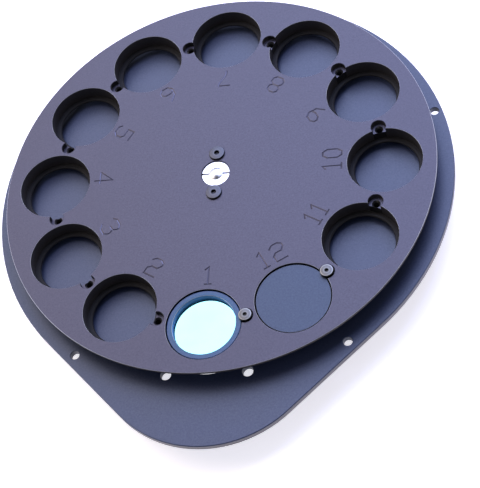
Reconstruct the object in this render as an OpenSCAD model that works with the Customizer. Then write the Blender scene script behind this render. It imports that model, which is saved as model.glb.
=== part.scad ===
// Twelve position optical filter wheel: base plate, carousel and pivot.
// The origin is on the wheel axis, in the outer (lower) face of the base plate.
// +Z points up the wheel axis. The optical axis is at -Y, under pocket 1.

/* [Base plate] */
// Radius of the round part of the base plate
plate_r = 100.4; // [100:0.1:104]
// Radius of the lobe round the optical axis
lobe_r = 48.7; // [44:0.1:56]
// Thickness of the base plate
plate_t = 3; // [2.5:0.5:5]
// Chamfer on the base plate's edges
plate_chamfer = 0.3; // [0.1:0.1:0.6]
// Diameter of the optical aperture
aperture_d = 35; // [28:0.5:38]
// Spacing of the four instrument holes, along X and along Y
instrument_spacing = 34; // [33:0.5:38]
// Diameter of the instrument holes
instrument_hole_d = 4.5; // [3:0.1:5]
// Radius of the circle of cover holes
cover_hole_circle_r = 97; // [96:0.1:97]
// Diameter of the cover holes
cover_hole_d = 3.8; // [3:0.1:4]

/* [Carousel] */
// Number of filter positions
positions = 12; // [10:1:12]
// Distance from the wheel axis to each pocket's centre
pitch_r = 72.5; // [72:0.1:73]
// Outer diameter of the carousel's lip
wheel_d = 188.4; // [187:0.1:190]
// Diameter of the drum below the lip
drum_d = 180; // [179:0.5:181]
// Thickness of the carousel
wheel_t = 7.5; // [7:0.1:9]
// Thickness of the lip
lip_t = 1.2; // [0.8:0.1:2]
// Gap between the base plate and the carousel
wheel_gap = 2.5; // [2:0.1:4]
// Chamfer on the lip's upper edge
lip_chamfer = 0.3; // [0.1:0.1:0.5]
// Chamfer on the drum's lower edge
drum_chamfer = 0.5; // [0.2:0.1:1]

/* [Pockets] */
// Diameter of a pocket
pocket_d = 31.75; // [31.5:0.05:32]
// Depth of a pocket down to its seat
pocket_depth = 6.35; // [6:0.05:6.5]
// Clear diameter inside the seat
seat_d = 27.2; // [26:0.1:28]
// Angle from a pocket to its clamp screw, in degrees
clamp_angle = 13.8; // [13.6:0.1:14]
// Distance from the wheel axis to a clamp screw
clamp_r = 71.7; // [71:0.1:72.5]
// Diameter of a clamp screw's counterbore
clamp_bore_d = 6.4; // [6:0.1:6.6]
// Depth of a clamp screw's counterbore
clamp_bore_depth = 2.5; // [2:0.1:3]

/* [Filter and blank] */
// Outer diameter of the filter cell and of the blank
filter_d = 31; // [30.5:0.1:31.3]
// Depth of their upper faces below the carousel's
filter_drop = 0.65; // [0.5:0.05:1]
// Inner diameter of the filter cell above the glass
cell_bore_d = 26.4; // [25:0.1:27]
// Thickness of the filter glass
glass_t = 2; // [1:0.1:3]
// Depth of the glass below the top of its cell
glass_drop = 2.35; // [1.5:0.05:2.5]
// Width of the ledge that the glass rests on
glass_ledge = 0.9; // [0.5:0.1:1.5]

/* [Pivot] */
// Diameter of the spindle's nose
nose_d = 12; // [11:0.1:12.5]
// Depth of the nose below the carousel's upper face
nose_drop = 0.5; // [0.3:0.1:2]
// Diameter of the domed thrust pin in the middle of the nose
thrust_pin_d = 6.2; // [5:0.1:7]
// Height of the thrust pin's dome
thrust_dome_h = 0.85; // [0.5:0.05:1.2]
// Diameter of the spindle's flange
flange_d = 28; // [27:0.5:32]
// Distance from the wheel axis to a hub screw
hub_screw_r = 10; // [9.8:0.1:10.4]
// Outer diameter of the bearing housing
housing_d = 42; // [41:1:50]
// Diameter of the housing's pilot in the base plate
pilot_d = 24; // [23:0.5:25]

/* [Bearings] */
// Bore of a bearing
bearing_bore = 10; // [10:0.5:10]
// Outer diameter of a bearing
bearing_d = 19; // [19:0.5:19]
// Width of a bearing
bearing_w = 5; // [5:0.5:5]
// Number of balls in a bearing
ball_count = 11; // [8:1:11]
// Gap between the two bearings
spacer_t = 1.5; // [1:0.1:2]

/* [Hidden] */
$fn = 96;
eps = 0.01;

// Levels, measured from the outer face of the base plate
wheel_bottom = plate_t + wheel_gap;
wheel_top = wheel_bottom + wheel_t;
seat_z = wheel_top - pocket_depth;
clamp_z = wheel_top - clamp_bore_depth;
filter_top = wheel_top - filter_drop;
glass_z = filter_top - glass_drop - glass_t;
nose_top = wheel_top - nose_drop;
flange_recess = 2;
flange_top = wheel_bottom + flange_recess;
flange_bottom = plate_t + 1;
housing_lip_t = 1;
upper_bearing_top = plate_t - housing_lip_t;
upper_bearing_z = upper_bearing_top - bearing_w;
lower_bearing_z = upper_bearing_z - spacer_t - bearing_w;
wave_washer_t = 0.4;
collar_h = 2.1;
clip_t = 1;
internal_clip_z = lower_bearing_z - wave_washer_t - clip_t;
external_clip_z = lower_bearing_z - collar_h - clip_t;
spindle_bottom = external_clip_z - 0.6;
housing_bottom = spindle_bottom - 0.8;

// Angles, anticlockwise from +X
pocket_step = 360 / positions;
cover_hole_angles = [-54, -126, 18, 162, 90];
hub_screw_angles = [90, -90];
housing_screw_angles = [45, 135, 225, 315];

// Radii
bearing_pitch_r = (bearing_bore + bearing_d) / 4;
race_d = 2.5;
ball_d = 2.38;
inner_ring_r = 6.3;
outer_ring_r = 8.2;
cage_t = 1;
cage_h = 3.2;
journal_shoulder_r = 6;
housing_lip_r = 8.5;
clip_groove_depth = 0.6;
wheel_bore_d = nose_d + 0.4;
housing_screw_r = 16;

// Fasteners: [head diameter, head height, socket across flats, thread's root diameter].
// A shank and its tapped hole are both drawn at the root diameter.
clamp_screw = [5.6, 1.65, 1.5, 2.5];
hub_screw = [6.8, 0.9, 2, 3.3];
housing_screw = [5.5, 3, 2.5, 2.5];
hub_clearance_d = 4.4;
housing_clearance_d = 3.4;
hub_screw_grip = 8.6;
clamp_screw_grip = 6.4;
housing_screw_end = plate_t - 0.3;

// Angle of pocket k. Pocket 1 is at -Y and the numbers rise clockwise, seen from above.
function pocket_angle(k) = -90 - pocket_step * (k - 1);

// Angle of the clamp screw that holds what is in pocket k
function clamp_screw_angle(k) = pocket_angle(k) + clamp_angle;

// Places its children on a circle of radius r, at an angle, at height z
module at(r, angle, z = 0) {
  rotate([0, 0, angle]) translate([r, 0, z]) rotate([0, 0, -angle]) children();
}

// A cylinder between two heights
module rod(d, z0, z1) {
  translate([0, 0, z0]) cylinder(d = d, h = z1 - z0);
}

// A tube between two heights
module tube(outer_d, inner_d, z0, z1) {
  difference() {
    rod(outer_d, z0, z1);
    rod(inner_d, z0 - 1, z1 + 1);
  }
}

// A cone that chamfers the mouth of a hole of diameter d in a face at height z.
// side is 1 where the hole opens upwards and -1 where it opens downwards.
module mouth_chamfer(d, z, size, side) {
  translate([0, 0, z])
    mirror([0, 0, side < 0 ? 1 : 0])
      translate([0, 0, -size])
        cylinder(d1 = d, d2 = d + 4 * size, h = 2 * size);
}

// Low head socket screw with a flat top, its head's underside at z = 0
module low_head_screw(s, grip) {
  edge = 0.15;
  socket_depth = 1.3;
  difference() {
    union() {
      cylinder(d = s[0], h = s[1] - edge);
      translate([0, 0, s[1] - edge]) cylinder(d1 = s[0], d2 = s[0] - 2 * edge, h = edge);
      translate([0, 0, -grip]) cylinder(d = s[3], h = grip + eps);
    }
    translate([0, 0, s[1] - socket_depth]) cylinder(d = s[2] / cos(30), h = 2 * socket_depth, $fn = 6);
  }
}

// Cap head socket screw, its head's underside at z = 0
module cap_screw(s, grip) {
  difference() {
    union() {
      cylinder(d = s[0], h = s[1]);
      translate([0, 0, -grip]) cylinder(d = s[3], h = grip + eps);
    }
    translate([0, 0, s[1] * 0.5]) cylinder(d = s[2] / cos(30), h = s[1], $fn = 6);
  }
}

// Angle at which the tangents touch the round part and the lobe, each side of -Y
tangent_angle = acos((plate_r - lobe_r) / pitch_r);

// Disc of the base plate's thickness, with both its edges chamfered
module plate_disc(r) {
  rotate_extrude()
    polygon([
      [0, 0],
      [r - plate_chamfer, 0],
      [r, plate_chamfer],
      [r, plate_t - plate_chamfer],
      [r - plate_chamfer, plate_t],
      [0, plate_t]
    ]);
}

// Part of the base plate between the two tangents, with its straight edges chamfered
module plate_web() {
  right = [cos(-90 + tangent_angle), sin(-90 + tangent_angle)];
  left = [-right[0], right[1]];
  tangent_length = pitch_r * sin(tangent_angle);
  difference() {
    linear_extrude(height = plate_t)
      polygon([
        (plate_r - eps) * right,
        [0, -pitch_r] + (lobe_r - eps) * right,
        [0, -pitch_r] + (lobe_r - eps) * left,
        (plate_r - eps) * left
      ]);
    for (side = [0, 1], z = [0, plate_t])
      mirror([side, 0, 0])
        rotate([0, 0, tangent_angle - 90])
          translate([plate_r - eps, 5, z])
            rotate([90, 0, 0])
              cylinder(r = plate_chamfer, h = tangent_length + 10, $fn = 4);
  }
}

module base_plate() {
  half = instrument_spacing / 2;
  chamfer = 0.2;
  color("slategray")
    difference() {
      union() {
        plate_disc(plate_r, $fn = 180);
        translate([0, -pitch_r, 0]) plate_disc(lobe_r);
        plate_web();
      }
      rod(pilot_d, -1, plate_t + 1);
      translate([0, -pitch_r, 0]) {
        rod(aperture_d, -1, plate_t + 1);
        mouth_chamfer(aperture_d, plate_t, chamfer, 1);
        mouth_chamfer(aperture_d, 0, chamfer, -1);
        for (x = [-half, half], y = [-half, half])
          translate([x, y, 0]) {
            rod(instrument_hole_d, -1, plate_t + 1);
            mouth_chamfer(instrument_hole_d, plate_t, chamfer, 1);
            mouth_chamfer(instrument_hole_d, 0, chamfer, -1);
          }
      }
      for (a = cover_hole_angles)
        at(cover_hole_circle_r, a) {
          rod(cover_hole_d, -1, plate_t + 1);
          mouth_chamfer(cover_hole_d, plate_t, chamfer, 1);
          mouth_chamfer(cover_hole_d, 0, chamfer, -1);
        }
      for (a = housing_screw_angles)
        at(housing_screw_r, a) rod(housing_screw[3], -1, plate_t + 1);
    }
}

module bearing_housing() {
  head_depth = housing_screw[1] + 0.4;
  edge = 0.5;
  color("dimgray")
    difference() {
      union() {
        translate([0, 0, housing_bottom]) cylinder(d1 = housing_d - 2 * edge, d2 = housing_d, h = edge);
        rod(housing_d, housing_bottom + edge, 0);
        rod(pilot_d, -eps, plate_t);
      }
      rod(2 * housing_lip_r, housing_bottom - 1, plate_t + 1);
      rod(bearing_d, housing_bottom - 1, upper_bearing_top);
      rod(bearing_d + 2 * clip_groove_depth, internal_clip_z - 0.05, internal_clip_z + clip_t + 0.05);
      mouth_chamfer(bearing_d, housing_bottom, 0.4, -1);
      for (a = housing_screw_angles)
        at(housing_screw_r, a) {
          rod(housing_clearance_d, housing_bottom - 1, 1);
          rod(housing_screw[0] + 0.5, housing_bottom - 1, housing_bottom + head_depth);
        }
    }
}

module housing_screws() {
  head_z = housing_bottom + housing_screw[1] + 0.4;
  color("black")
    for (a = housing_screw_angles)
      at(housing_screw_r, a, head_z)
        mirror([0, 0, 1]) cap_screw(housing_screw, housing_screw_end - head_z);
}

// Ring of a bearing between two radii, with its raceway and chamfered corners on the
// side that it is fitted by, its lower face at z = 0
module bearing_ring(inner_r, outer_r) {
  chamfer = 0.3;
  fitted_r = inner_r > bearing_pitch_r ? outer_r : inner_r;
  rotate_extrude()
    difference() {
      translate([inner_r, 0]) square([outer_r - inner_r, bearing_w]);
      translate([bearing_pitch_r, bearing_w / 2]) circle(d = race_d, $fn = 48);
      for (z = [0, bearing_w]) translate([fitted_r, z]) circle(r = chamfer, $fn = 4);
    }
}

// Balls of a bearing, its lower face at z = 0
module bearing_balls(d) {
  for (i = [0 : ball_count - 1])
    at(bearing_pitch_r, i * 360 / ball_count, bearing_w / 2) sphere(d = d, $fn = 32);
}

// Ring of a bearing that keeps the balls apart, with a drilled pocket for each
module bearing_cage() {
  cage_z = (bearing_w - cage_h) / 2;
  difference() {
    tube(2 * bearing_pitch_r + cage_t, 2 * bearing_pitch_r - cage_t, cage_z, cage_z + cage_h);
    for (i = [0 : ball_count - 1])
      rotate([0, 0, i * 360 / ball_count])
        translate([bearing_pitch_r - cage_t, 0, bearing_w / 2])
          rotate([0, 90, 0]) cylinder(d = race_d, h = 2 * cage_t, $fn = 48);
  }
}

module upper_bearing_outer_ring() {
  color("silver") translate([0, 0, upper_bearing_z]) bearing_ring(outer_ring_r, bearing_d / 2);
}

module upper_bearing_inner_ring() {
  color("silver") translate([0, 0, upper_bearing_z]) bearing_ring(bearing_bore / 2, inner_ring_r);
}

module upper_bearing_balls() {
  color("gainsboro") translate([0, 0, upper_bearing_z]) bearing_balls(ball_d);
}

module upper_bearing_cage() {
  color("tan") translate([0, 0, upper_bearing_z]) bearing_cage();
}

module lower_bearing_outer_ring() {
  color("silver") translate([0, 0, lower_bearing_z]) bearing_ring(outer_ring_r, bearing_d / 2);
}

module lower_bearing_inner_ring() {
  color("silver") translate([0, 0, lower_bearing_z]) bearing_ring(bearing_bore / 2, inner_ring_r);
}

module lower_bearing_balls() {
  color("gainsboro") translate([0, 0, lower_bearing_z]) bearing_balls(ball_d);
}

module lower_bearing_cage() {
  color("tan") translate([0, 0, lower_bearing_z]) bearing_cage();
}

module outer_spacer() {
  color("silver") tube(bearing_d, 2 * outer_ring_r, lower_bearing_z + bearing_w, upper_bearing_z);
}

module inner_spacer() {
  color("silver") tube(2 * inner_ring_r - 0.4, bearing_bore, lower_bearing_z + bearing_w, upper_bearing_z);
}

module wave_washer() {
  color("gray") tube(bearing_d - 0.4, 2 * outer_ring_r, lower_bearing_z - wave_washer_t, lower_bearing_z);
}

module lower_collar() {
  color("silver") tube(2 * inner_ring_r - 0.6, bearing_bore, lower_bearing_z - collar_h, lower_bearing_z);
}

// Circlip between two radii, open towards +X, with a drilled lug at each end.
// lug_r is the distance from the axis to a lug's centre.
module circlip(outer_r, inner_r, lug_r, lug_d, gap_angle) {
  linear_extrude(height = clip_t)
    difference() {
      union() {
        difference() {
          circle(r = outer_r);
          circle(r = inner_r);
          polygon([[0, 0], 2 * outer_r * [cos(gap_angle), -sin(gap_angle)], 2 * outer_r * [cos(gap_angle), sin(gap_angle)]]);
        }
        for (side = [-1, 1])
          rotate(side * gap_angle) translate([lug_r, 0]) circle(d = lug_d, $fn = 32);
      }
      for (side = [-1, 1])
        rotate(side * gap_angle) translate([lug_r, 0]) circle(d = lug_d * 0.45, $fn = 32);
    }
}

module internal_circlip() {
  outer_r = bearing_d / 2 + clip_groove_depth;
  color("dimgray")
    translate([0, 0, internal_clip_z])
      circlip(outer_r, outer_r - 1.6, outer_r - 2.1, 2.4, 16);
}

module external_circlip() {
  inner_r = bearing_bore / 2 - clip_groove_depth / 2;
  color("dimgray")
    translate([0, 0, external_clip_z])
      circlip(inner_r + 1.2, inner_r, inner_r + 1.2, 2, 22);
}

// Pin pressed into the spindle's nose, with a domed end
module thrust_pin() {
  dome_r = (pow(thrust_pin_d / 2, 2) + pow(thrust_dome_h, 2)) / (2 * thrust_dome_h);
  dome_top = nose_top + thrust_dome_h;
  intersection() {
    rod(thrust_pin_d, nose_top - 2, dome_top + 1);
    translate([0, 0, dome_top - dome_r]) sphere(r = dome_r);
  }
}

module spindle() {
  slot_w = 0.9;
  slot_depth = 1;
  groove_d = bearing_bore - clip_groove_depth;
  color("gainsboro") {
    thrust_pin();
    difference() {
      union() {
        rod(nose_d, flange_top - eps, nose_top);
        rod(flange_d, flange_bottom, flange_top);
        rod(2 * journal_shoulder_r, upper_bearing_top, flange_bottom + eps);
        rod(bearing_bore, spindle_bottom + 0.3, upper_bearing_top + eps);
        translate([0, 0, spindle_bottom]) cylinder(d1 = bearing_bore - 0.6, d2 = bearing_bore, h = 0.3);
      }
      translate([-nose_d, -slot_w / 2, nose_top - slot_depth]) cube([2 * nose_d, slot_w, slot_depth + 1]);
      for (a = hub_screw_angles)
        at(hub_screw_r, a) rod(hub_screw[3], flange_bottom - 1, flange_top + 1);
      tube(bearing_bore + 4, groove_d, external_clip_z - 0.05, external_clip_z + clip_t + 0.05);
    }
  }
}

module hub_screws() {
  color("black")
    for (a = hub_screw_angles)
      at(hub_screw_r, a, wheel_top) low_head_screw(hub_screw, hub_screw_grip);
}

// What is cut out of the carousel for pocket k: the pocket, the clear bore through its
// seat, and the counterbore and tapped hole of its clamp screw
module pocket_cut(k) {
  at(pitch_r, pocket_angle(k)) {
    rod(pocket_d, seat_z, wheel_top + 1);
    rod(seat_d, wheel_bottom - 1, seat_z + eps);
    mouth_chamfer(pocket_d, wheel_top, 0.15, 1);
    mouth_chamfer(seat_d, seat_z, 0.3, 1);
    mouth_chamfer(seat_d, wheel_bottom, 0.3, -1);
  }
  at(clamp_r, clamp_screw_angle(k)) {
    rod(clamp_bore_d, clamp_z, wheel_top + 1);
    rod(clamp_screw[3], wheel_bottom - 1, clamp_z + eps);
    mouth_chamfer(clamp_screw[3], clamp_z, 0.35, 1);
  }
}

module carousel() {
  color("slategray")
    difference() {
      union() {
        translate([0, 0, wheel_bottom])
          cylinder(d1 = drum_d - 2 * drum_chamfer, d2 = drum_d, h = drum_chamfer);
        rod(drum_d, wheel_bottom + drum_chamfer, wheel_top - lip_t + eps);
        rod(wheel_d, wheel_top - lip_t, wheel_top - lip_chamfer);
        translate([0, 0, wheel_top - lip_chamfer])
          cylinder(d1 = wheel_d, d2 = wheel_d - 2 * lip_chamfer, h = lip_chamfer);
      }
      for (k = [1 : positions]) pocket_cut(k);
      rod(wheel_bore_d, wheel_bottom - 1, wheel_top + 1);
      mouth_chamfer(wheel_bore_d, wheel_top, 0.2, 1);
      rod(flange_d + 0.2, wheel_bottom - 1, flange_top);
      for (a = hub_screw_angles)
        at(hub_screw_r, a) rod(hub_clearance_d, wheel_bottom, wheel_top + 1);
    }
}

module filter_ring() {
  color("cornflowerblue")
    at(pitch_r, pocket_angle(1))
      difference() {
        rod(filter_d, seat_z, filter_top);
        rod(cell_bore_d, glass_z, filter_top + 1);
        rod(cell_bore_d - 2 * glass_ledge, seat_z - 1, filter_top);
        mouth_chamfer(cell_bore_d, filter_top, 0.15, 1);
      }
}

module filter_glass() {
  color("lightcyan", 0.6)
    at(pitch_r, pocket_angle(1)) rod(cell_bore_d, glass_z, glass_z + glass_t);
}

module blank_disc() {
  edge = 0.2;
  color("slategray")
    at(pitch_r, pocket_angle(12)) {
      rod(filter_d, seat_z, filter_top - edge);
      translate([0, 0, filter_top - edge]) cylinder(d1 = filter_d, d2 = filter_d - 2 * edge, h = edge);
    }
}

module filter_screw() {
  color("silver")
    at(clamp_r, clamp_screw_angle(1), filter_top) low_head_screw(clamp_screw, clamp_screw_grip);
}

module blank_screw() {
  color("silver")
    at(clamp_r, clamp_screw_angle(12), filter_top) low_head_screw(clamp_screw, clamp_screw_grip);
}

base_plate();
bearing_housing();
housing_screws();
upper_bearing_outer_ring();
upper_bearing_inner_ring();
upper_bearing_balls();
upper_bearing_cage();
lower_bearing_outer_ring();
lower_bearing_inner_ring();
lower_bearing_balls();
lower_bearing_cage();
outer_spacer();
inner_spacer();
wave_washer();
internal_circlip();
lower_collar();
external_circlip();
spindle();
hub_screws();
carousel();
filter_ring();
filter_glass();
filter_screw();
blank_disc();
blank_screw();
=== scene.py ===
"""Optical filter wheel with its cover off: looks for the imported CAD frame.

Lengths in this script are written in millimetres and multiplied by MM where they
reach Blender; the lamps' sizes and distances are in metres. The frame's origin is on
the wheel axis, in the base plate's outer face.
"""
import math
import bmesh
import bpy
from mathutils import Matrix, Vector


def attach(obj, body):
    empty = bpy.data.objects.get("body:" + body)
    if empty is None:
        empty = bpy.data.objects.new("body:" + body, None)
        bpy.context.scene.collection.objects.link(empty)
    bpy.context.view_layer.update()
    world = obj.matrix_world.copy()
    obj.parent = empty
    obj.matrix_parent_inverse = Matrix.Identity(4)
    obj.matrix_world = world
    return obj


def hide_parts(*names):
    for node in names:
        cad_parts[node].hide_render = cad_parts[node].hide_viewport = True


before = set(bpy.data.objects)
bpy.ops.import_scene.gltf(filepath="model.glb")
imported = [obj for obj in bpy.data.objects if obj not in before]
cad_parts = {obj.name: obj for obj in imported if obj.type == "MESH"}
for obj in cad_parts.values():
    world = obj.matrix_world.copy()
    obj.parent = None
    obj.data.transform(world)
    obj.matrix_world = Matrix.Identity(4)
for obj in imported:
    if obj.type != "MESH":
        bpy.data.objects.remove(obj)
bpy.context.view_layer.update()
MM = 0.001
SCENE = bpy.context.scene

# Sizes shared with part.scad, in millimetres
WHEEL_BOTTOM, WHEEL_TOP = 5.5, 13.0
WHEEL_R, DRUM_R, LIP_T = 94.2, 90.0, 1.2
PITCH_R, POCKET_R, SEAT_R = 72.5, 15.875, 13.6
SEAT_Z = WHEEL_TOP - 6.35
CLAMP_R, CLAMP_ANGLE, CLAMP_Z = 71.7, 13.8, WHEEL_TOP - 2.5
CLAMP_BORE_R, CLAMP_TAP_R = 3.2, 1.25
FLANGE_TOP, FLANGE_R, FLANGE_GAP, WHEEL_BORE_R = 7.5, 14.0, 0.1, 6.2
HUB_SCREW_R, HUB_HOLE_R, HUB_SCREW_ANGLES = 10.0, 2.2, (90, 270)
FILTER_TOP, FILTER_R, CELL_BORE_R = 12.35, 15.5, 13.2
GLASS_Z, GLASS_TOP = 8.0, 10.0
HOUSING_BOTTOM = -14.0
# Twelve positions: the first holds the filter and the last one the blank
POSITIONS, FILTER_POSITION, BLANK_POSITION = 12, 1, 12

# Chamfers: rim, pocket mouth, pocket seat, drum foot, wheel bore, hub hole, clamp hole
RIM_EDGE, MOUTH_EDGE, SEAT_EDGE, DRUM_EDGE = 0.15, 0.1, 0.3, 0.5
BORE_EDGE, HUB_HOLE_EDGE, CLAMP_EDGE = 0.2, 0.2, 0.15
# Countersink of the tapped clamp hole, and its thread's depth and pitch
CLAMP_MOUTH, TAP_DEPTH, TAP_PITCH = 0.6, 0.2, 0.5
# How far a cutter stands out of the face it cuts
OVER = 1.0
# The cell's inner bevel, and the seam below it
BEVEL, SEAM_Z, SEAM_H, SEAM_DEPTH = 0.15, FILTER_TOP - 0.75, 0.45, 0.4
# Engraved figures: height, radius of the foot line, stroke width and depth
FIGURE_H, FIGURE_FOOT_R = 8.1, 54.4
FIGURE_W, FIGURE_DEPTH = 0.8, 0.18
# Fasteners: head diameter, head height, socket across flats, thread's crest radius, grip
CLAMP_SCREW = (5.6, 1.65, 1.5, 1.25, 6.4)
HUB_SCREW = (6.8, 0.9, 2.0, 1.65, 8.6)

# Segments round the rim, a pocket or what it holds, a screw, and a small hole
RIM_SIDES, POCKET_SIDES, SCREW_SIDES, HOLE_SIDES = 360, 128, 64, 48
# Smoothing limits in degrees. The wheel's is below its engraved slopes: a limit above
# them bends the flat face's normals, and streaks show across it.
SMOOTH_ANGLE, SCREW_SMOOTH_ANGLE, CELL_SMOOTH_ANGLE, WHEEL_SMOOTH_ANGLE = 35, 30, 20, 15
# Tolerances for telling faces apart: at one level, near a place, along a pocket's wall
LEVEL, NEAR, WALL_NEAR = 0.001, 0.01, 0.05

# Anodised grain: cycles per millimetre of clouding, blasting and mottle, the blasting's
# weight in the colour, its bump, and how far the mottle swings the sheen
CLOUD_SCALE, BLAST_SCALE, MOTTLE_SCALE = 0.03, 3.0, 1.3
BLAST_WEIGHT, BLAST_BUMP, GRAIN_CONTRAST = 0.35, 0.5, 0.7
# Specular level from which the mottle shows; a duller finish keeps a constant level
MOTTLED_FROM = 0.3
# Dust: cells per millimetre, a speck's radius as a share of its cell, and its colour
DUST_SCALE, DUST_REACH, DUST_COLOUR = 0.09, 0.014, (0.75, 0.75, 0.72)
# Radius that holds every hole of the plate and none of its outer edge, the width over
# which the edge's painted light starts, and how level a face that counts as upright can be
RIM_START_R, RIM_START_W, UPRIGHT = 99.4, 0.2, 0.4
# Shadow under the wheel, on the light's side of the axis: it starts between these radii,
# grows between these distances from the axis towards the light, fades out over this
# width at the wheel's edge, and leaves this share of the plate's colour and sheen
SHADE_RADII = (83, 86.5)
SHADE_FROM, SHADE_FULL, SHADE_FADE, SHEEN_LEFT = 25, 50, 2, 0.12
# Blender's wave texture turns this many radians for each unit of scale and distance
WAVE_RATE = 20
# Brightness across a screw's head, from its middle out: a faint ring, then a painted
# highlight on its rim with a painted dark edge outside it
CLAMP_HEAD_RINGS_AND_PAINTED_RIM = [(0.3, 0.5), (0.45, 0.62), (0.55, 0.46), (0.78, 0.48), (0.85, 0.9),
               (0.95, 0.9), (0.99, 0.15)]
HUB_HEAD_RINGS_AND_PAINTED_RIM = [(0.3, 0.5), (0.45, 0.6), (0.55, 0.52), (0.8, 0.52), (0.88, 0.58),
                   (0.96, 0.5), (0.99, 0.1)]
# Painted reflection on the spindle's nose, a darker spot: its middle, its radius, and its
# brightness outwards
NOSE_PAINTED_REFLECTION = ((0.5, -1.9), 1.5, [(0.0, 0.22), (0.35, 0.3), (0.8, 0.8), (1.0, 1.0)])

WHEEL_COLOUR = (0.032, 0.030, 0.044)
PLATE_COLOUR = (0.022, 0.028, 0.058)
CELL_COLOUR = (0.020, 0.045, 0.110)
WHEEL_SHEEN = (0.85, 0.84, 1.0)
GLASS_TONES = (0.255, 0.62, 0.68), (0.275, 0.66, 0.72)

# Floor: how strongly it glows, its two tones, how far it is below the housing, its size
FLOOR_GLOW = 0.76
FLOOR_TONES = (0.80, 0.77, 0.80), (0.825, 0.805, 0.83)
FLOOR_DROP, FLOOR_HALF = 0.05, 6000
# The key light stands at this distance along this direction, raised by this much
KEY_DIRECTION, KEY_DISTANCE, KEY_RAISE = (-0.30, 0.55, 0.80), 1.1, 0.14
KEY_WIDTH, KEY_HEIGHT = 2.1, 1.22
# Radiance of its panels from left to right, in red, green and blue
KEY_PANELS = [(2.5, 2.0, 1.4), (2.9, 2.7, 3.1), (3.4, 3.75, 5.6), (3.7, 4.3, 8.0)]
# The room: its tone overhead and in front, and the brighter band low at its sides and
# back. On the unit sphere of directions, the band's top goes from the back's height to
# the sides' over the first of these ranges, and the band fades in from the front over
# the second.
ROOM_COLOUR, ROOM_RADIANCE = (0.80, 0.84, 1.0), 0.40
BAND_RADIANCE, SIDE_BAND_TOP, BACK_BAND_TOP = 3.0, 0.50, 0.42
SIDE_BAND_X, BAND_Y = (0.4, 0.8), (-0.75, -0.25)

# Camera solved from the pockets' circles: focal length and frame in pixels, place in
# millimetres, and the directions of its axes
FOCAL_PX, FRAME_H, SENSOR_MM = 1421.0, 488, 36.0
CAMERA_AT = Vector((144.08, -333.91, 499.08)) * MM
CAMERA_RIGHT = Vector((0.97232, 0.05931, -0.22602))
CAMERA_UP = Vector((0.06573, 0.85878, 0.50811))
CAMERA_BACK = Vector((0.22423, -0.50890, 0.83111))


def pocket_angle(k):
    """Angle of pocket k, anticlockwise from +X, in degrees."""
    return -90 - 360 / POSITIONS * (k - 1)


def polar(r, degrees):
    """Point at that radius and angle, in millimetres."""
    a = math.radians(degrees)
    return Vector((r * math.cos(a), r * math.sin(a), 0))


# ---------------------------------------------------------------- mesh helpers

def new_object(name, bm, smooth_angle=SMOOTH_ANGLE):
    """Object from a bmesh drawn in millimetres, shaded smooth up to an angle."""
    bmesh.ops.scale(bm, vec=(MM, MM, MM), verts=bm.verts)
    bmesh.ops.recalc_face_normals(bm, faces=bm.faces)
    mesh = bpy.data.meshes.new(name)
    bm.to_mesh(mesh)
    bm.free()
    obj = bpy.data.objects.new(name, mesh)
    SCENE.collection.objects.link(obj)
    shade(obj, smooth_angle)
    return obj


def shade(obj, smooth_angle):
    """Smooth shading with sharp edges above an angle in degrees."""
    obj.data.shade_smooth()
    obj.data.set_sharp_from_angle(angle=math.radians(smooth_angle))


def lathe(bm, profile, segments, centre=(0, 0)):
    """Turns a profile of (radius, z) points about a vertical axis.

    A profile that starts and ends on the axis makes a solid, and a closed one that
    stays off it makes a ring.
    """
    on_axis = profile[0][0] == 0
    rings = []
    for r, z in profile:
        if r == 0:
            rings.append([bm.verts.new((centre[0], centre[1], z))])
            continue
        rings.append([
            bm.verts.new((
                centre[0] + r * math.cos(2 * math.pi * i / segments),
                centre[1] + r * math.sin(2 * math.pi * i / segments),
                z,
            ))
            for i in range(segments)
        ])
    pairs = list(zip(rings, rings[1:]))
    if not on_axis:
        pairs.append((rings[-1], rings[0]))
    for low, high in pairs:
        for i in range(segments):
            j = (i + 1) % segments
            corners = (low[i % len(low)], low[j % len(low)],
                       high[j % len(high)], high[i % len(high)])
            unique = list(dict.fromkeys(corners))
            if len(unique) > 2:
                bm.faces.new(unique)


def subtract(obj, cutter_bm):
    """Cuts a bmesh drawn in millimetres out of an object."""
    cutter = new_object("cutter", cutter_bm)
    cut = obj.modifiers.new("cut", "BOOLEAN")
    cut.operation = "DIFFERENCE"
    cut.solver = "MANIFOLD"
    cut.object = cutter
    bpy.context.view_layer.update()
    evaluated = obj.evaluated_get(bpy.context.evaluated_depsgraph_get())
    mesh = bpy.data.meshes.new_from_object(evaluated)
    obj.modifiers.clear()
    old = obj.data
    obj.data = mesh
    bpy.data.meshes.remove(old)
    cutter_mesh = cutter.data
    bpy.data.objects.remove(cutter)
    bpy.data.meshes.remove(cutter_mesh)


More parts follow.
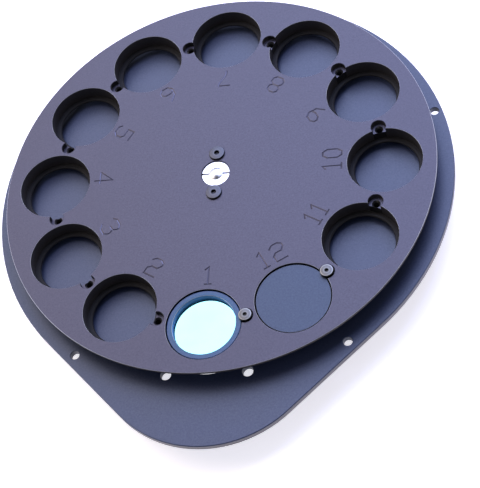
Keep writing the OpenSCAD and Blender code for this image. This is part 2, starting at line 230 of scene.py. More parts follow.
def groove(bm, path, half_width, depth, z, closed):
    """Adds a V-bottomed groove cutter along a path of (x, y) points, open at height z.

    An open path's ends stand out by a share of the half width, less so at the bottom.
    """
    lift, end_share, bottom_share, widest_mitre = 0.1, 0.6, 0.2, 2
    half_top = half_width * (1 + lift / depth)
    points = [Vector((p[0], p[1], 0)) for p in path]
    count = len(points)
    sections = []
    for i, p in enumerate(points):
        before = points[i - 1] if closed or i > 0 else None
        after = points[(i + 1) % count] if closed or i < count - 1 else None
        d1 = (p - before).normalized() if before is not None else (after - p).normalized()
        d2 = (after - p).normalized() if after is not None else d1
        along = (d1 + d2).normalized()
        side = Vector((-along.y, along.x, 0))
        mitre = 1 / max(1 / widest_mitre, side.dot(Vector((-d1.y, d1.x, 0))))
        shift = Vector((0, 0, 0))
        if before is None:
            shift = -d2 * half_width * end_share
        elif after is None:
            shift = d1 * half_width * end_share
        top = p + shift + Vector((0, 0, z + lift))
        bottom = p + shift * bottom_share + Vector((0, 0, z - depth))
        reach = side * half_top * mitre
        sections.append([bm.verts.new(corner) for corner in (top + reach, bottom, top - reach)])
    links = list(zip(sections, sections[1:]))
    if closed:
        links.append((sections[-1], sections[0]))
    for a, b in links:
        for i in range(3):
            j = (i + 1) % 3
            bm.faces.new((a[i], a[j], b[j], b[i]))
    if not closed:
        bm.faces.new(sections[0])
        bm.faces.new(list(reversed(sections[-1])))


# ------------------------------------------------------------------- materials

def node_tree(name):
    """New material with a Principled shader; returns the material, its tree and shader."""
    mat = bpy.data.materials.new(name)
    mat.use_nodes = True
    tree = mat.node_tree
    return mat, tree, tree.nodes["Principled BSDF"]


def add(tree, kind, **inputs):
    """Adds a node and sets inputs by name and other properties by attribute."""
    n = tree.nodes.new(kind)
    for key, value in inputs.items():
        label = key.replace("_", " ")
        if label in n.inputs:
            n.inputs[label].default_value = value
        else:
            setattr(n, key, value)
    return n


def feed(tree, value, socket):
    """Links a node's output to a socket, or sets the socket's constant."""
    if isinstance(value, bpy.types.NodeSocket):
        tree.links.new(value, socket)
    else:
        socket.default_value = value


def arithmetic(tree, operation, *values):
    """Math node's result, from node outputs or numbers."""
    n = add(tree, "ShaderNodeMath", operation=operation)
    for value, socket in zip(values, n.inputs):
        feed(tree, value, socket)
    return n.outputs[0]


def map_range(tree, value, source=(0, 1), target=(0, 1), smooth=False):
    """Maps a value from one range onto another, held at the ends."""
    n = tree.nodes.new("ShaderNodeMapRange")
    if smooth:
        n.interpolation_type = "SMOOTHSTEP"
    labels = ("Value", "From Min", "From Max", "To Min", "To Max")
    for label, entry in zip(labels, (value, *source, *target)):
        feed(tree, entry, n.inputs[label])
    return n.outputs["Result"]


def mixed(tree, factor, a, b, blend_type="MIX"):
    """Colour between a and b, from node outputs or constants."""
    n = add(tree, "ShaderNodeMix", data_type="RGBA", blend_type=blend_type)
    for label, value in (("Factor", factor), ("A", a), ("B", b)):
        feed(tree, value, n.inputs[label])
    return n.outputs["Result"]


def object_coordinates(tree, centre=(0, 0), scale=(1, 1, 1)):
    """Object coordinates measured from a vertical axis at centre, in millimetres."""
    coords = tree.nodes.new("ShaderNodeTexCoord")
    mapping = tree.nodes.new("ShaderNodeMapping")
    mapping.inputs["Location"].default_value = (-centre[0] * scale[0], -centre[1] * scale[1], 0)
    mapping.inputs["Scale"].default_value = tuple(s / MM for s in scale)
    tree.links.new(coords.outputs["Object"], mapping.inputs["Vector"])
    return mapping.outputs["Vector"]


def noise(tree, vector, scale, detail=3.0, roughness=0.6):
    """Noise value at a scale in cycles per millimetre."""
    n = add(tree, "ShaderNodeTexNoise", Scale=scale, Detail=detail, Roughness=roughness)
    tree.links.new(vector, n.inputs["Vector"])
    return n.outputs["Fac"]


def ramp(tree, value, stops):
    """Colour ramp through (position, colour) stops."""
    n = tree.nodes.new("ShaderNodeValToRGB")
    while len(n.color_ramp.elements) < len(stops):
        n.color_ramp.elements.new(0.5)
    for element, (position, colour) in zip(n.color_ramp.elements, stops):
        element.position = position
        element.color = (*colour, 1)
    tree.links.new(value, n.inputs["Fac"])
    return n.outputs["Color"]


def blend(tree, value, low, high):
    """Colour from low to high over the middle of a noise's range."""
    return ramp(tree, value, [(0.3, low), (0.7, high)])


def axis_distance(tree, centre, inner_r, outer_r):
    """Distance from a vertical axis, as 0 at one radius and 1 at another, in millimetres."""
    flat = object_coordinates(tree, centre, scale=(1, 1, 0))
    length = add(tree, "ShaderNodeVectorMath", operation="LENGTH")
    tree.links.new(flat, length.inputs[0])
    return map_range(tree, length.outputs["Value"], (inner_r, outer_r))


def tint(colour, factor):
    """Colour made lighter or darker by a factor."""
    return tuple(min(1.0, c * factor) for c in colour)


def bump(tree, shader, heights):
    """Chains bumps of (height value, strength, distance in millimetres) into a shader."""
    normal = None
    for value, strength, distance in heights:
        n = add(tree, "ShaderNodeBump", Strength=strength, Distance=distance * MM)
        tree.links.new(value, n.inputs["Height"])
        if normal is not None:
            tree.links.new(normal, n.inputs["Normal"])
        normal = n.outputs["Normal"]
    tree.links.new(normal, shader.inputs["Normal"])


def lathe_marks(tree, vector, pitch, wall=False):
    """Concentric rings about Z, or lines round a wall, a pitch apart in millimetres."""
    n = add(tree, "ShaderNodeTexWave", Scale=2 * math.pi / (WAVE_RATE * pitch),
            Distortion=0.6, Detail=2, Detail_Scale=0.4)
    if wall:
        n.wave_type, n.bands_direction = "BANDS", "Z"
    else:
        n.wave_type, n.rings_direction = "RINGS", "Z"
    tree.links.new(vector, n.inputs["Vector"])
    return n.outputs["Fac"]


def dusted(tree, at, base, share):
    """Scatters pale specks over a colour, one in that share of the dust's cells."""
    cells = add(tree, "ShaderNodeTexVoronoi", Scale=DUST_SCALE, Randomness=1.0)
    tree.links.new(at, cells.inputs["Vector"])
    lot = tree.nodes.new("ShaderNodeSeparateColor")
    tree.links.new(cells.outputs["Color"], lot.inputs[0])
    near = arithmetic(tree, "LESS_THAN", cells.outputs["Distance"], DUST_REACH)
    drawn = arithmetic(tree, "LESS_THAN", lot.outputs[0], share)
    return mixed(tree, arithmetic(tree, "MULTIPLY", near, drawn), base, (*DUST_COLOUR, 1))


def with_lit_side(tree, base, side):
    """Painted light on the plate's edge: its upright faces beyond the holes get a lighter colour.
    """
    shape = tree.nodes.new("ShaderNodeNewGeometry")
    axes = tree.nodes.new("ShaderNodeSeparateXYZ")
    tree.links.new(shape.outputs["Normal"], axes.inputs["Vector"])
    level = arithmetic(tree, "ABSOLUTE", axes.outputs["Z"])
    upright = arithmetic(tree, "LESS_THAN", level, UPRIGHT)
    beyond = axis_distance(tree, (0, 0), RIM_START_R, RIM_START_R + RIM_START_W)
    return mixed(tree, arithmetic(tree, "MULTIPLY", upright, beyond), base, (*side, 1))


def light_left(tree, at, inner_r, outer_r):
    """Share of light left under the wheel, which falls from one radius to the other."""
    towards = add(tree, "ShaderNodeVectorMath", operation="DOT_PRODUCT")
    tree.links.new(at, towards.inputs[0])
    towards.inputs[1].default_value = (*Vector(KEY_DIRECTION[:2]).normalized(), 0)
    behind = map_range(tree, towards.outputs["Value"], (SHADE_FROM, SHADE_FULL))
    under = arithmetic(tree, "MULTIPLY", axis_distance(tree, (0, 0), inner_r, outer_r), behind)
    covered = axis_distance(tree, (0, 0), WHEEL_R + SHADE_FADE, WHEEL_R)
    loss = arithmetic(tree, "MULTIPLY", under, covered)
    return map_range(tree, loss, target=(1.0, SHEEN_LEFT))


def anodised(name, colour, gloss=(0.34, 0.44), metallic=0.0, specular=0.5,
             specular_tint=(1, 1, 1), marks=None, specks=0.0, side=None, inner=None, dim=None):
    """Satin anodised aluminium: blasted grain, faint clouding, and dust if asked.

    gloss is its lowest and highest roughness, and marks the pitch of tool marks round its
    walls. side is a lighter colour for its upright faces beyond the holes, painted light.
    inner is (centre, radius, outer radius, tint) of a ring whose inner part has another
    specular tint. dim is the two radii between which it falls into the painted shadow under
    the wheel.
    """
    mat, tree, shader = node_tree(name)
    at = object_coordinates(tree)
    cloud = noise(tree, at, CLOUD_SCALE, 4.0)
    fine = noise(tree, at, BLAST_SCALE, 4.0, 0.7)
    grain = arithmetic(tree, "MULTIPLY_ADD", fine, BLAST_WEIGHT, cloud)
    base = ramp(tree, grain, [(0.35, tint(colour, 0.86)), (0.95, tint(colour, 1.14))])
    if specks:
        base = dusted(tree, at, base, specks)
    if side:
        base = with_lit_side(tree, base, side)
    mottle = noise(tree, at, MOTTLE_SCALE, 4.0, 0.75)
    swing = specular * GRAIN_CONTRAST
    sheen = map_range(tree, mottle, target=(specular - swing, specular + swing))
    if dim:
        kept = light_left(tree, at, *dim)
        sheen = arithmetic(tree, "MULTIPLY", sheen, kept)
        faded = add(tree, "ShaderNodeVectorMath", operation="SCALE")
        tree.links.new(base, faded.inputs[0])
        tree.links.new(kept, faded.inputs["Scale"])
        base = faded.outputs[0]
    tree.links.new(base, shader.inputs["Base Color"])
    tree.links.new(map_range(tree, cloud, target=gloss), shader.inputs["Roughness"])
    shader.inputs["Metallic"].default_value = metallic
    shader.inputs["Specular IOR Level"].default_value = specular
    if specular >= MOTTLED_FROM:
        tree.links.new(sheen, shader.inputs["Specular IOR Level"])
    shader.inputs["Specular Tint"].default_value = (*specular_tint, 1)
    if inner:
        centre, inner_r, outer_r, inner_tint = inner
        reach = axis_distance(tree, centre, inner_r, outer_r)
        ring = ramp(tree, reach, [(0.15, inner_tint), (0.85, specular_tint)])
        tree.links.new(ring, shader.inputs["Specular Tint"])
    heights = [(fine, BLAST_BUMP, 0.02)]
    if marks:
        heights.append((lathe_marks(tree, at, marks, wall=True), 0.35, 0.03))
    bump(tree, shader, heights)
    return mat


def turned(name, colour, roughness, centre=(0, 0), pitch=0.16, depth=0.006, metallic=1.0,
           bands=None):
    """Turned metal: concentric tool marks about a vertical axis at centre.

    bands is (centre, outer radius, [(position, brightness)]) for rings of other tones,
    among them painted highlights, painted shade and a painted reflection.
    """
    mat, tree, shader = node_tree(name)
    at = object_coordinates(tree, centre)
    smudge = noise(tree, at, 0.7, 3.0)
    base = blend(tree, smudge, tint(colour, 0.88), tint(colour, 1.08))
    if bands:
        bands_centre, outer_r, stops = bands
        reach = axis_distance(tree, bands_centre, 0, outer_r)
        tone = ramp(tree, reach, [(position, (level, level, level)) for position, level in stops])
        base = mixed(tree, 1.0, base, tone, "MULTIPLY")
    tree.links.new(base, shader.inputs["Base Color"])
    satin = map_range(tree, smudge, target=(roughness * 0.8, roughness * 1.25))
    tree.links.new(satin, shader.inputs["Roughness"])
    shader.inputs["Metallic"].default_value = metallic
    bump(tree, shader, [(lathe_marks(tree, at, pitch), 0.5, depth)])
    return mat


def brushed(name, colour, roughness, grain=0.3):
    """Steel without a turned face: rolled grain and light smudges."""
    mat, tree, shader = node_tree(name)
    fine = noise(tree, object_coordinates(tree, scale=(1, 1, 6)), 2.2, 4.0, 0.7)
    smudge = noise(tree, object_coordinates(tree), 0.35, 3.0)
    base = blend(tree, smudge, tint(colour, 0.85), tint(colour, 1.12))
    tree.links.new(base, shader.inputs["Base Color"])
    satin = map_range(tree, smudge, target=(roughness * 0.75, roughness * 1.3))
    tree.links.new(satin, shader.inputs["Roughness"])
    shader.inputs["Metallic"].default_value = 1.0
    bump(tree, shader, [(fine, grain, 0.01)])
    return mat


def moulded(name, colour):
    """Moulded polyamide: fine mat texture with slight colour streaks."""
    mat, tree, shader = node_tree(name)
    at = object_coordinates(tree)
    streak = noise(tree, at, 0.5, 3.0)
    base = blend(tree, streak, tint(colour, 0.85), tint(colour, 1.1))
    tree.links.new(base, shader.inputs["Base Color"])
    tree.links.new(map_range(tree, streak, target=(0.45, 0.6)), shader.inputs["Roughness"])
    bump(tree, shader, [(noise(tree, at, 4.0), 0.4, 0.01)])
    return mat


def coated_glass(name):
    """Optical glass with an interference coating that mirrors pale cyan."""
    mat, tree, shader = node_tree(name)
    at = object_coordinates(tree)
    base = blend(tree, noise(tree, at, 0.08, 2.0), *GLASS_TONES)
    tree.links.new(base, shader.inputs["Base Color"])
    polish = map_range(tree, noise(tree, at, 0.5), target=(0.01, 0.03))
    tree.links.new(polish, shader.inputs["Roughness"])
    shader.inputs["Metallic"].default_value = 0.92
    shader.inputs["Transmission Weight"].default_value = 0.6
    shader.inputs["IOR"].default_value = 1.52
    return mat


def floor_material():
    """Pale backdrop that glows, so what shows through the holes is as pale as the rest."""
    mat, tree, shader = node_tree("floor")
    base = blend(tree, noise(tree, object_coordinates(tree), 0.004, 2.0), *FLOOR_TONES)
    tree.links.new(base, shader.inputs["Base Color"])
    tree.links.new(base, shader.inputs["Emission Color"])
    shader.inputs["Emission Strength"].default_value = FLOOR_GLOW
    shader.inputs["Roughness"].default_value = 0.9
    return mat


# ------------------------------------------------------------- camera and light

def make_camera():
    """Camera at the photograph's place, solved from the pockets' circles."""
    data = bpy.data.cameras.new("camera")
    data.sensor_width = SENSOR_MM
    data.lens = FOCAL_PX / FRAME_H * SENSOR_MM
    data.clip_start, data.clip_end = 0.01, 20
    obj = bpy.data.objects.new("camera", data)
    turn = Matrix((CAMERA_RIGHT, CAMERA_UP, CAMERA_BACK)).transposed()
    obj.matrix_world = Matrix.Translation(CAMERA_AT) @ turn.to_4x4()
    SCENE.collection.objects.link(obj)
    SCENE.camera = obj


def soft_box(name, across, width, radiance):
    """Upright panel of the light behind the wheel, of that radiance in red, green and blue."""
    peak = max(radiance)
    data = bpy.data.lights.new(name, "AREA")
    data.shape = "RECTANGLE"
    data.size, data.size_y = width, KEY_HEIGHT
    data.energy = peak * math.pi * width * KEY_HEIGHT
    data.color = [value / peak for value in radiance]
    obj = bpy.data.objects.new(name, data)
    direction = Vector(KEY_DIRECTION).normalized()
    turn = direction.to_track_quat("Z", "Y")
    obj.location = direction * KEY_DISTANCE + turn @ Vector((across, KEY_RAISE, 0))
    obj.rotation_euler = turn.to_euler()
    SCENE.collection.objects.link(obj)


def make_room():
    """Pale room: even overhead, brighter low down at the sides and the back."""
    world = bpy.data.worlds.new("room")
    world.use_nodes = True
    tree = world.node_tree
    coords = tree.nodes.new("ShaderNodeTexCoord")
    axes = tree.nodes.new("ShaderNodeSeparateXYZ")
    tree.links.new(coords.outputs["Generated"], axes.inputs["Vector"])
    sideways = arithmetic(tree, "ABSOLUTE", axes.outputs["X"])
    band_top = map_range(tree, sideways, SIDE_BAND_X, (BACK_BAND_TOP, SIDE_BAND_TOP), smooth=True)
    low = map_range(tree, axes.outputs["Z"], (band_top, 0), smooth=True)
    aside = map_range(tree, axes.outputs["Y"], BAND_Y, smooth=True)
    band = arithmetic(tree, "MULTIPLY", low, aside)
    extra = BAND_RADIANCE - ROOM_RADIANCE
    strength = arithmetic(tree, "MULTIPLY_ADD", band, extra, ROOM_RADIANCE)
    background = tree.nodes["Background"]
    background.inputs["Color"].default_value = (*ROOM_COLOUR, 1)
    tree.links.new(strength, background.inputs["Strength"])
    return world


def make_light():
    """A wide soft light behind the wheel, where the camera sees it mirrored, and a pale room.

    Its left part is a little warmer than its right part, like a window beside a wall.
    """
    width = KEY_WIDTH / len(KEY_PANELS)
    for i, radiance in enumerate(KEY_PANELS):
        soft_box(f"key_{i + 1}", KEY_WIDTH / 2 - (i + 0.5) * width, width, radiance)
    SCENE.world = make_room()
    SCENE.view_settings.view_transform = "Standard"
    SCENE.view_settings.look = "None"
    SCENE.view_settings.exposure = 0
    SCENE.view_settings.gamma = 1


def make_floor():
    """Pale floor under the bearing housing's foot."""
    bm = bmesh.new()
    bmesh.ops.create_grid(bm, x_segments=2, y_segments=2, size=FLOOR_HALF)
    for v in bm.verts:
        v.co.z = HOUSING_BOTTOM - FLOOR_DROP
    floor = new_object("floor", bm)
    floor.data.materials.append(floor_material())


make_camera()
make_light()
make_floor()

# -------------------------------------------------------------------- finishes

wheel_mat = anodised("wheel_anodise", WHEEL_COLOUR, specks=0.02, specular_tint=WHEEL_SHEEN)
engraved_mat = anodised("engraved_anodise", WHEEL_COLOUR, gloss=(0.14, 0.20),
                        specular_tint=WHEEL_SHEEN)
edge_mat = anodised("worn_edge", (0.34, 0.34, 0.37), gloss=(0.28, 0.36), metallic=0.8)
# Darker copies of the wheel's anodise, painted shade: the walls' (with real tool marks) and the
# seats', darker still
wall_shade_mat = anodised("wall_anodise_shaded", (0.024, 0.021, 0.021), marks=0.4, specular=0.48,
                    specular_tint=(1.0, 0.94, 0.78))
seat_shade_mat = anodised("seat_painted_shade", (0.012, 0.011, 0.011), gloss=(0.45, 0.55), specular=0.16)
# Near-black copy for the narrow gaps round the filter cell and the blank: painted shade
gap_shade_mat = anodised("gap_painted_shade", (0.004, 0.004, 0.006), gloss=(0.6, 0.7), specular=0.05)
# The plate's edge gets a lighter colour, painted light, and under the wheel a painted shadow
plate_mat = anodised("plate_anodise", PLATE_COLOUR, specks=0.04, specular=0.53,
                     specular_tint=(0.80, 0.88, 1.0), side=(0.085, 0.075, 0.075),
                     dim=SHADE_RADII)
housing_mat = turned("housing_anodise", PLATE_COLOUR, 0.4, metallic=0.0)
CELL_AXIS = polar(PITCH_R, pocket_angle(FILTER_POSITION)).xy
cell_mat = anodised("cell_anodise", CELL_COLOUR, gloss=(0.25, 0.32),
                    specular_tint=(0.75, 0.84, 0.95),
                    inner=(CELL_AXIS, CELL_BORE_R, FILTER_R, (0.50, 0.84, 0.92)))
# Lighter copy of the cell's anodise for its bore wall: painted light
cell_bore_lit_mat = anodised("cell_bore_painted_light", (0.10, 0.26, 0.48), gloss=(0.3, 0.4),
                         specular_tint=(0.6, 0.8, 1.0))
blank_mat = anodised("blank_anodise", PLATE_COLOUR, specular_tint=(0.70, 0.86, 1.0))
glass_mat = coated_glass("filter_glass")
# Clamp screws' heads carry a painted highlight on the rim and a painted dark edge
screw_mats = {}
for k in (FILTER_POSITION, BLANK_POSITION):
    at = polar(CLAMP_R, pocket_angle(k) + CLAMP_ANGLE).xy
    screw_mats[k] = turned(f"screw_steel_{k}", (0.175, 0.174, 0.166), 0.3, at,
                           bands=(at, CLAMP_SCREW[0] / 2, CLAMP_HEAD_RINGS_AND_PAINTED_RIM))
# Hub screws' heads also carry a painted highlight on the rim and a painted dark edge
hub_screw_mats = {}
for angle in HUB_SCREW_ANGLES:
    at = polar(HUB_SCREW_R, angle).xy
    hub_screw_mats[angle] = turned(f"black_screw_{angle}", (0.115, 0.118, 0.134), 0.33, at,
                                   bands=(at, HUB_SCREW[0] / 2, HUB_HEAD_RINGS_AND_PAINTED_RIM))
black_mat = brushed("black_oxide", (0.05, 0.05, 0.06), 0.35)
# The nose carries a painted reflection, a darker spot off its middle
nose_mat = turned("nose_steel", (0.58, 0.58, 0.59), 0.33, pitch=0.12, depth=0.003,
                  bands=NOSE_PAINTED_REFLECTION)
bearing_mat = turned("bearing_steel", (0.55, 0.55, 0.56), 0.15, pitch=0.1, depth=0.002)
ball_mat = brushed("ball_chrome", (0.75, 0.75, 0.77), 0.08, grain=0.05)
cage_mat = moulded("cage_polyamide", (0.40, 0.27, 0.13))
spacer_mat = turned("spacer_steel", (0.48, 0.48, 0.50), 0.3)
spring_mat = brushed("spring_steel", (0.07, 0.07, 0.075), 0.35)

# ------------------------------------------------------------------- carousel

# Strokes of the engraved figures in millimetres: x runs right, y from the foot
# line up towards the hub. A stroke marked True closes on itself.
NINE = [
    ([(0, 0), (2.7, 2.8), (2.9, 6.3), (1.4, 8.1), (-1.3, 8.1), (-2.7, 6.8), (-2.7, 5.4)], False),
    ([(-2.7, 5.4), (-1.3, 4.2), (1.4, 4.2), (2.75, 5.2)], False),
]
FIGURES = {
    "0": [([(-2.15, 2), (-2.15, 6.2), (-0.9, 8.1), (0.9, 8.1), (2.15, 6.2), (2.15, 1.9),
            (0.9, 0), (-0.9, 0)], True)],
    "1": [([(-1.4, 6.8), (0.1, 8.1), (0.1, 0)], False), ([(-1.45, 0), (1.45, 0)], False)],
    "2": [([(-2.75, 6.9), (-1.2, 8.2), (1.3, 8.2), (2.8, 7.1), (2.8, 5.8), (1.5, 4.1),
            (-1.2, 4.1), (-2.7, 2.8), (-2.7, 0), (2.5, 0)], False)],
    "3": [([(-3, 6.9), (-1.6, 8.2), (1.4, 8.2), (2.9, 6.9), (2.9, 5.9), (2, 4.3),
            (-0.3, 4.2)], False),
          ([(2, 4.1), (2.7, 2.9), (2.7, 1.6), (1.5, 0), (-1.4, 0), (-3.1, 1.6)], False)],
    "4": [([(1.3, 0), (1.3, 8.1), (-3, 2.6)], False), ([(-3, 2.6), (2.6, 2.6)], False)],
    "5": [([(2.8, 8.1), (-2.2, 8.1), (-2.2, 4.9), (1.4, 5), (2.7, 3.9), (2.7, 1.4), (1.3, 0),
            (-1.3, 0), (-2.7, 1.2)], False)],
    "6": [([(-x, FIGURE_H - y) for x, y in path], closed) for path, closed in NINE],
    "7": [([(-2.4, 8.1), (2.4, 8.1), (2.4, 7), (-0.6, 2.2), (-0.6, 0)], False)],
    "8": [([(-1.2, 8.1), (1.2, 8.1), (2.4, 7), (2.4, 5.4), (1.2, 4.3), (-1.2, 4.3), (-2.4, 5.4),
            (-2.4, 7)], True),
          ([(-1.3, 4.3), (-2.7, 3), (-2.7, 1.3), (-1.3, 0), (1.3, 0), (2.7, 1.3), (2.7, 3),
            (1.3, 4.3)], False)],
    "9": NINE,
}
# Each position's figures and how far right of the pocket's centre line each stands
NUMERALS = {
    1: [("1", 0.45)], 2: [("2", 2.4)], 3: [("3", -2.0)], 4: [("4", -2.0)],
    5: [("5", -0.2)], 6: [("6", -0.5)], 7: [("7", -0.7)], 8: [("8", 1.3)], 9: [("9", 1.2)],
    10: [("1", -1.2), ("0", 5.15)], 11: [("1", -1.35), ("1", 3.9)],
    12: [("1", -2.45), ("2", 4.65)],
}


def figure_path(position, path, across):
    """Stroke of a figure laid on the wheel's face at its position."""
    angle = pocket_angle(position)
    up = -polar(1, angle)
    right = Vector((up.y, -up.x, 0))
    foot = polar(FIGURE_FOOT_R, angle)
    return [foot + right * (x + across) + up * y for x, y in path]


def figure_cutter(layer):
    """Cutter for one stroke of each figure; strokes that cross are cut in turn."""
    bm = bmesh.new()
    for position, figures in NUMERALS.items():
        for figure, across in figures:
            strokes = FIGURES[figure]
            if layer < len(strokes):
                path, closed = strokes[layer]
                points = figure_path(position, path, across)
                groove(bm, points, FIGURE_W / 2, FIGURE_DEPTH, WHEEL_TOP, closed)
    return bm


def thread_profile(bore_r, depth, pitch, low, high):
    """Zigzag wall of a tapped hole, as (radius, z) points from low to high."""
    turns = int((high - low) / pitch)
    points = []
    for i in range(turns):
        points.append((bore_r, low + i * pitch))
        points.append((bore_r + depth, low + (i + 0.5) * pitch))
    points.append((bore_r, high))
    return points


def wheel_zone(centre, normal):
    """Which material a face of the wheel gets, from where it is and which way it faces."""
    turn = -90 - math.degrees(math.atan2(centre.y, centre.x))
    k = round(turn / (360 / POSITIONS)) % POSITIONS + 1
    from_pocket = (centre.xy - polar(PITCH_R, pocket_angle(k)).xy).length
    from_clamp = (centre.xy - polar(CLAMP_R, pocket_angle(k) + CLAMP_ANGLE).xy).length
    if centre.z > WHEEL_TOP - LEVEL:
        return "face"
    if centre.z > WHEEL_TOP - RIM_EDGE - LEVEL:
        worn = centre.xy.length > WHEEL_R - RIM_EDGE or from_pocket < POCKET_R + MOUTH_EDGE
        return "edge" if worn else "engraved"
    if abs(centre.z - CLAMP_Z) < NEAR and normal.z > 0.9:
        return "face"
    # Clamp bores get the seats' darker copy: painted shade
    if from_clamp < CLAMP_BORE_R + NEAR:
        return "seat"
    # Pocket walls round the filter cell and the blank: near black, painted shade in the gap
    if k in (FILTER_POSITION, BLANK_POSITION) and abs(from_pocket - POCKET_R) < WALL_NEAR:
        return "gap"
    # Walls get a darker copy of the face's anodise and seats a darker one still: painted shade
    return "wall" if centre.z > SEAT_Z + NEAR else "seat"


def wheel_body():
    """Lipped drum round the bore, with a recess for the spindle's flange."""
    recess_r = FLANGE_R + FLANGE_GAP
    bm = bmesh.new()
    lathe(bm, [
        (WHEEL_BORE_R, FLANGE_TOP), (recess_r, FLANGE_TOP), (recess_r, WHEEL_BOTTOM),
        (DRUM_R - DRUM_EDGE, WHEEL_BOTTOM), (DRUM_R, WHEEL_BOTTOM + DRUM_EDGE),
        (DRUM_R, WHEEL_TOP - LIP_T), (WHEEL_R, WHEEL_TOP - LIP_T),
        (WHEEL_R, WHEEL_TOP - RIM_EDGE), (WHEEL_R - RIM_EDGE, WHEEL_TOP),
        (WHEEL_BORE_R + BORE_EDGE, WHEEL_TOP), (WHEEL_BORE_R, WHEEL_TOP - BORE_EDGE),
    ], RIM_SIDES)
    return new_object("filter_wheel", bm)


def pocket_cutter():
    """Twelve stepped pockets and the two holes of the hub screws."""
    bm = bmesh.new()
    for k in range(1, POSITIONS + 1):
        lathe(bm, [
            (0, WHEEL_BOTTOM - OVER), (SEAT_R + SEAT_EDGE + OVER, WHEEL_BOTTOM - OVER),
            (SEAT_R, WHEEL_BOTTOM + SEAT_EDGE), (SEAT_R, SEAT_Z - SEAT_EDGE),
            (SEAT_R + SEAT_EDGE, SEAT_Z), (POCKET_R, SEAT_Z), (POCKET_R, WHEEL_TOP - MOUTH_EDGE),
            (POCKET_R + MOUTH_EDGE + OVER, WHEEL_TOP + OVER), (0, WHEEL_TOP + OVER),
        ], POCKET_SIDES, polar(PITCH_R, pocket_angle(k)))
    for angle in HUB_SCREW_ANGLES:
        lathe(bm, [
            (0, WHEEL_BOTTOM - OVER), (HUB_HOLE_R, WHEEL_BOTTOM - OVER),
            (HUB_HOLE_R, WHEEL_TOP - HUB_HOLE_EDGE),
            (HUB_HOLE_R + HUB_HOLE_EDGE + OVER, WHEEL_TOP + OVER), (0, WHEEL_TOP + OVER),
        ], HOLE_SIDES, polar(HUB_SCREW_R, angle))
    return bm


def clamp_cutter():
    """Clamp holes: a flat-bottomed bore with a countersunk tapped hole in its floor."""
    low, high = WHEEL_BOTTOM - OVER, CLAMP_Z - CLAMP_MOUTH
    profile = [
        (0, low), *thread_profile(CLAMP_TAP_R, TAP_DEPTH, TAP_PITCH, low, high),
        (CLAMP_TAP_R + CLAMP_MOUTH, CLAMP_Z), (CLAMP_BORE_R, CLAMP_Z),
        (CLAMP_BORE_R, WHEEL_TOP - CLAMP_EDGE),
        (CLAMP_BORE_R + CLAMP_EDGE + OVER, WHEEL_TOP + OVER), (0, WHEEL_TOP + OVER),
    ]
    bm = bmesh.new()
    for k in range(1, POSITIONS + 1):
        lathe(bm, profile, HOLE_SIDES, polar(CLAMP_R, pocket_angle(k) + CLAMP_ANGLE))
    return bm


def make_carousel():
    """Filter wheel: lipped drum with twelve pockets, clamp holes and engraved figures."""
    wheel = wheel_body()
    subtract(wheel, pocket_cutter())
    subtract(wheel, clamp_cutter())
    for layer in range(2):
        subtract(wheel, figure_cutter(layer))
    shade(wheel, WHEEL_SMOOTH_ANGLE)

    # Wall, seat and gap materials are darker copies of the face's anodise: painted shade
    zones = {"face": wheel_mat, "wall": wall_shade_mat, "seat": seat_shade_mat, "edge": edge_mat,
             "engraved": engraved_mat, "gap": gap_shade_mat}
    slots = {zone: slot for slot, zone in enumerate(zones)}
    wheel.data.materials.clear()
    for mat in zones.values():
        wheel.data.materials.append(mat)
    for face in wheel.data.polygons:
        face.material_index = slots[wheel_zone(face.center / MM, face.normal)]
    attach(wheel, "rotor")
    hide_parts("carousel")


make_carousel()


# -------------------------------------------------------------- screws and filter

def low_head_screw(name, at, z, size, mat):
    """Low head socket screw with a threaded shank, its head's underside at height z."""
    head_d, head_h, socket, crest_r, grip = size
    edge, round_edge, socket_depth, cone_depth = 0.15, 0.05, 1.3, 0.2
    pitch, thread_depth, neck = 0.5, 0.2, 0.9
    head_r, top, tip, root_r = head_d / 2, z + head_h, z - grip, crest_r - thread_depth
    profile = [(0, tip), (root_r, tip)]
    for i in range(int((grip - 1) / pitch)):
        profile += [(root_r, tip + (i + 0.1) * pitch), (crest_r, tip + (i + 0.5) * pitch)]
    bm = bmesh.new()
    lathe(bm, profile + [
        (crest_r, z - neck), (crest_r, z), (head_r - round_edge, z), (head_r, z + round_edge),
        (head_r, top - edge - round_edge), (head_r - round_edge, top - edge),
        (head_r - edge, top - round_edge * 0.6), (head_r - edge - round_edge * 1.5, top), (0, top),
    ], SCREW_SIDES, at.xy)
    screw = new_object(name, bm)

    corner_r, floor = socket / 2 / math.cos(math.pi / 6), top - socket_depth
    bm = bmesh.new()
    lathe(bm, [(0, floor - cone_depth), (corner_r, floor), (corner_r, top + OVER),
               (0, top + OVER)], 6, at.xy)
    subtract(screw, bm)
    # A shallow cone breaks the socket's corners
    lead, above = 0.06, 0.5
    bm = bmesh.new()
    lathe(bm, [(0, top - corner_r + lead), (corner_r + above + lead, top + above),
               (0, top + above)], HOLE_SIDES, at.xy)
    subtract(screw, bm)
    shade(screw, SCREW_SMOOTH_ANGLE)
    screw.data.materials.clear()
    screw.data.materials.append(mat)
    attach(screw, "rotor")
    return screw


for k, node_name in ((FILTER_POSITION, "filter_screw"), (BLANK_POSITION, "blank_screw")):
    clamp_at = polar(CLAMP_R, pocket_angle(k) + CLAMP_ANGLE)
    clamp = low_head_screw(f"clamp_screw_{k}", clamp_at, FILTER_TOP,
                           CLAMP_SCREW, screw_mats[k])
    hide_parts(node_name)

# One CAD node holds both hub screws, so the first of them replaces it
for angle, mat in hub_screw_mats.items():
    hub_screw = low_head_screw(f"hub_screw_{angle}", polar(HUB_SCREW_R, angle), WHEEL_TOP,
                               HUB_SCREW, mat)
    if angle == HUB_SCREW_ANGLES[0]:
        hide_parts("hub_screws")


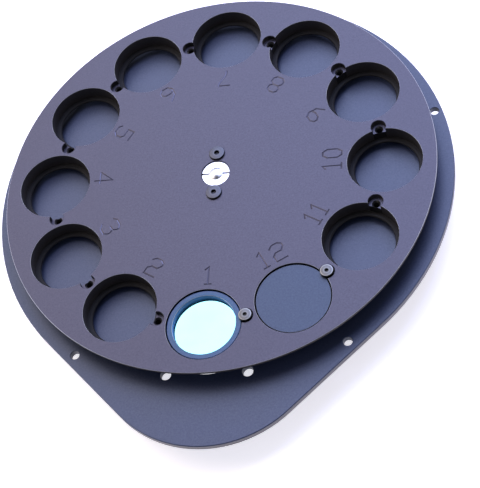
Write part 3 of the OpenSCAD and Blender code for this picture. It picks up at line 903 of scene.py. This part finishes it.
def make_cell():
    """Filter cell with a threaded bore and a ledge that the glass rests on."""
    foot_edge, ledge = 0.25, 0.9
    pitch, thread_depth, run_out, thread_end = 0.6, 0.16, 0.3, SEAM_Z - 0.7
    inner_r, seam_r = CELL_BORE_R - ledge, CELL_BORE_R + SEAM_DEPTH
    z = GLASS_TOP + run_out
    bore = [(CELL_BORE_R, GLASS_Z), (CELL_BORE_R, z)]
    while z < thread_end:
        bore += [(CELL_BORE_R + thread_depth, z + pitch / 2), (CELL_BORE_R, z + pitch)]
        z += pitch
    bm = bmesh.new()
    lathe(bm, [
        (FILTER_R - foot_edge, SEAT_Z), (FILTER_R, SEAT_Z + foot_edge),
        (FILTER_R, FILTER_TOP - 0.3), (FILTER_R - 0.08, FILTER_TOP - 0.1),
        (FILTER_R - 0.3, FILTER_TOP), (CELL_BORE_R + BEVEL, FILTER_TOP),
        (CELL_BORE_R, FILTER_TOP - BEVEL), (CELL_BORE_R, SEAM_Z + SEAM_H),
        (seam_r, SEAM_Z + SEAM_H - 0.05), (seam_r, SEAM_Z), *bore[::-1],
        (inner_r, GLASS_Z), (inner_r, SEAT_Z),
    ], POCKET_SIDES, CELL_AXIS)
    cell = new_object("filter_cell", bm, CELL_SMOOTH_ANGLE)
    # The bore wall gets the lighter copy, painted light; the seam gets the pocket walls' darker
    # copy, painted shade
    outside, wall, worn, seam = range(4)
    for mat in (cell_mat, cell_bore_lit_mat, edge_mat, wall_shade_mat):
        cell.data.materials.append(mat)
    for face in cell.data.polygons:
        middle = face.center / MM
        if (middle.xy - CELL_AXIS).length > seam_r + WALL_NEAR:
            face.material_index = outside
        elif middle.z > FILTER_TOP - BEVEL:
            face.material_index = worn if middle.z < FILTER_TOP - LEVEL else outside
        else:
            in_seam = SEAM_Z < middle.z < SEAM_Z + SEAM_H + NEAR
            face.material_index = seam if in_seam else wall
    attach(cell, "rotor")
    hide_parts("filter_ring")


def make_blank():
    """Blank disc with a bevelled rim."""
    bevel, foot_edge, blank_r = 0.12, 0.25, FILTER_R - 0.15
    bm = bmesh.new()
    lathe(bm, [
        (0, SEAT_Z), (blank_r - foot_edge, SEAT_Z), (blank_r, SEAT_Z + foot_edge),
        (blank_r, FILTER_TOP - bevel), (blank_r - bevel, FILTER_TOP), (0, FILTER_TOP),
    ], POCKET_SIDES, polar(PITCH_R, pocket_angle(BLANK_POSITION)).xy)
    blank = new_object("blank", bm, CELL_SMOOTH_ANGLE)
    # The blank's side is near black: painted shade in the gap round it
    top, worn, side = range(3)
    for mat in (blank_mat, edge_mat, gap_shade_mat):
        blank.data.materials.append(mat)
    for face in blank.data.polygons:
        height = face.center.z / MM
        if height > FILTER_TOP - LEVEL:
            face.material_index = top
        else:
            face.material_index = worn if height > FILTER_TOP - bevel else side
    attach(blank, "rotor")
    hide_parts("blank_disc")


def make_glass():
    """Coated glass disc with ground bevels."""
    bevel = 0.25
    bm = bmesh.new()
    lathe(bm, [
        (0, GLASS_Z), (CELL_BORE_R - bevel, GLASS_Z), (CELL_BORE_R, GLASS_Z + bevel),
        (CELL_BORE_R, GLASS_TOP - bevel), (CELL_BORE_R - bevel, GLASS_TOP), (0, GLASS_TOP),
    ], POCKET_SIDES, CELL_AXIS)
    glass = new_object("glass_disc", bm)
    glass.data.materials.append(glass_mat)
    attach(glass, "rotor")
    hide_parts("filter_glass")


make_cell()
make_glass()
make_blank()

# CAD nodes that stay, with their finishes
NODE_MATERIALS = {
    "base_plate": plate_mat,
    "bearing_housing": housing_mat,
    "housing_screws": black_mat,
    "upper_bearing_outer_ring": bearing_mat,
    "upper_bearing_inner_ring": bearing_mat,
    "upper_bearing_balls": ball_mat,
    "upper_bearing_cage": cage_mat,
    "lower_bearing_outer_ring": bearing_mat,
    "lower_bearing_inner_ring": bearing_mat,
    "lower_bearing_balls": ball_mat,
    "lower_bearing_cage": cage_mat,
    "outer_spacer": spacer_mat,
    "inner_spacer": spacer_mat,
    "wave_washer": spring_mat,
    "internal_circlip": spring_mat,
    "lower_collar": spacer_mat,
    "external_circlip": spring_mat,
    "spindle": nose_mat,
}
for node_name, node_material in NODE_MATERIALS.items():
    node_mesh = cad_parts[node_name].data
    node_mesh.materials.clear()
    node_mesh.materials.append(node_material)
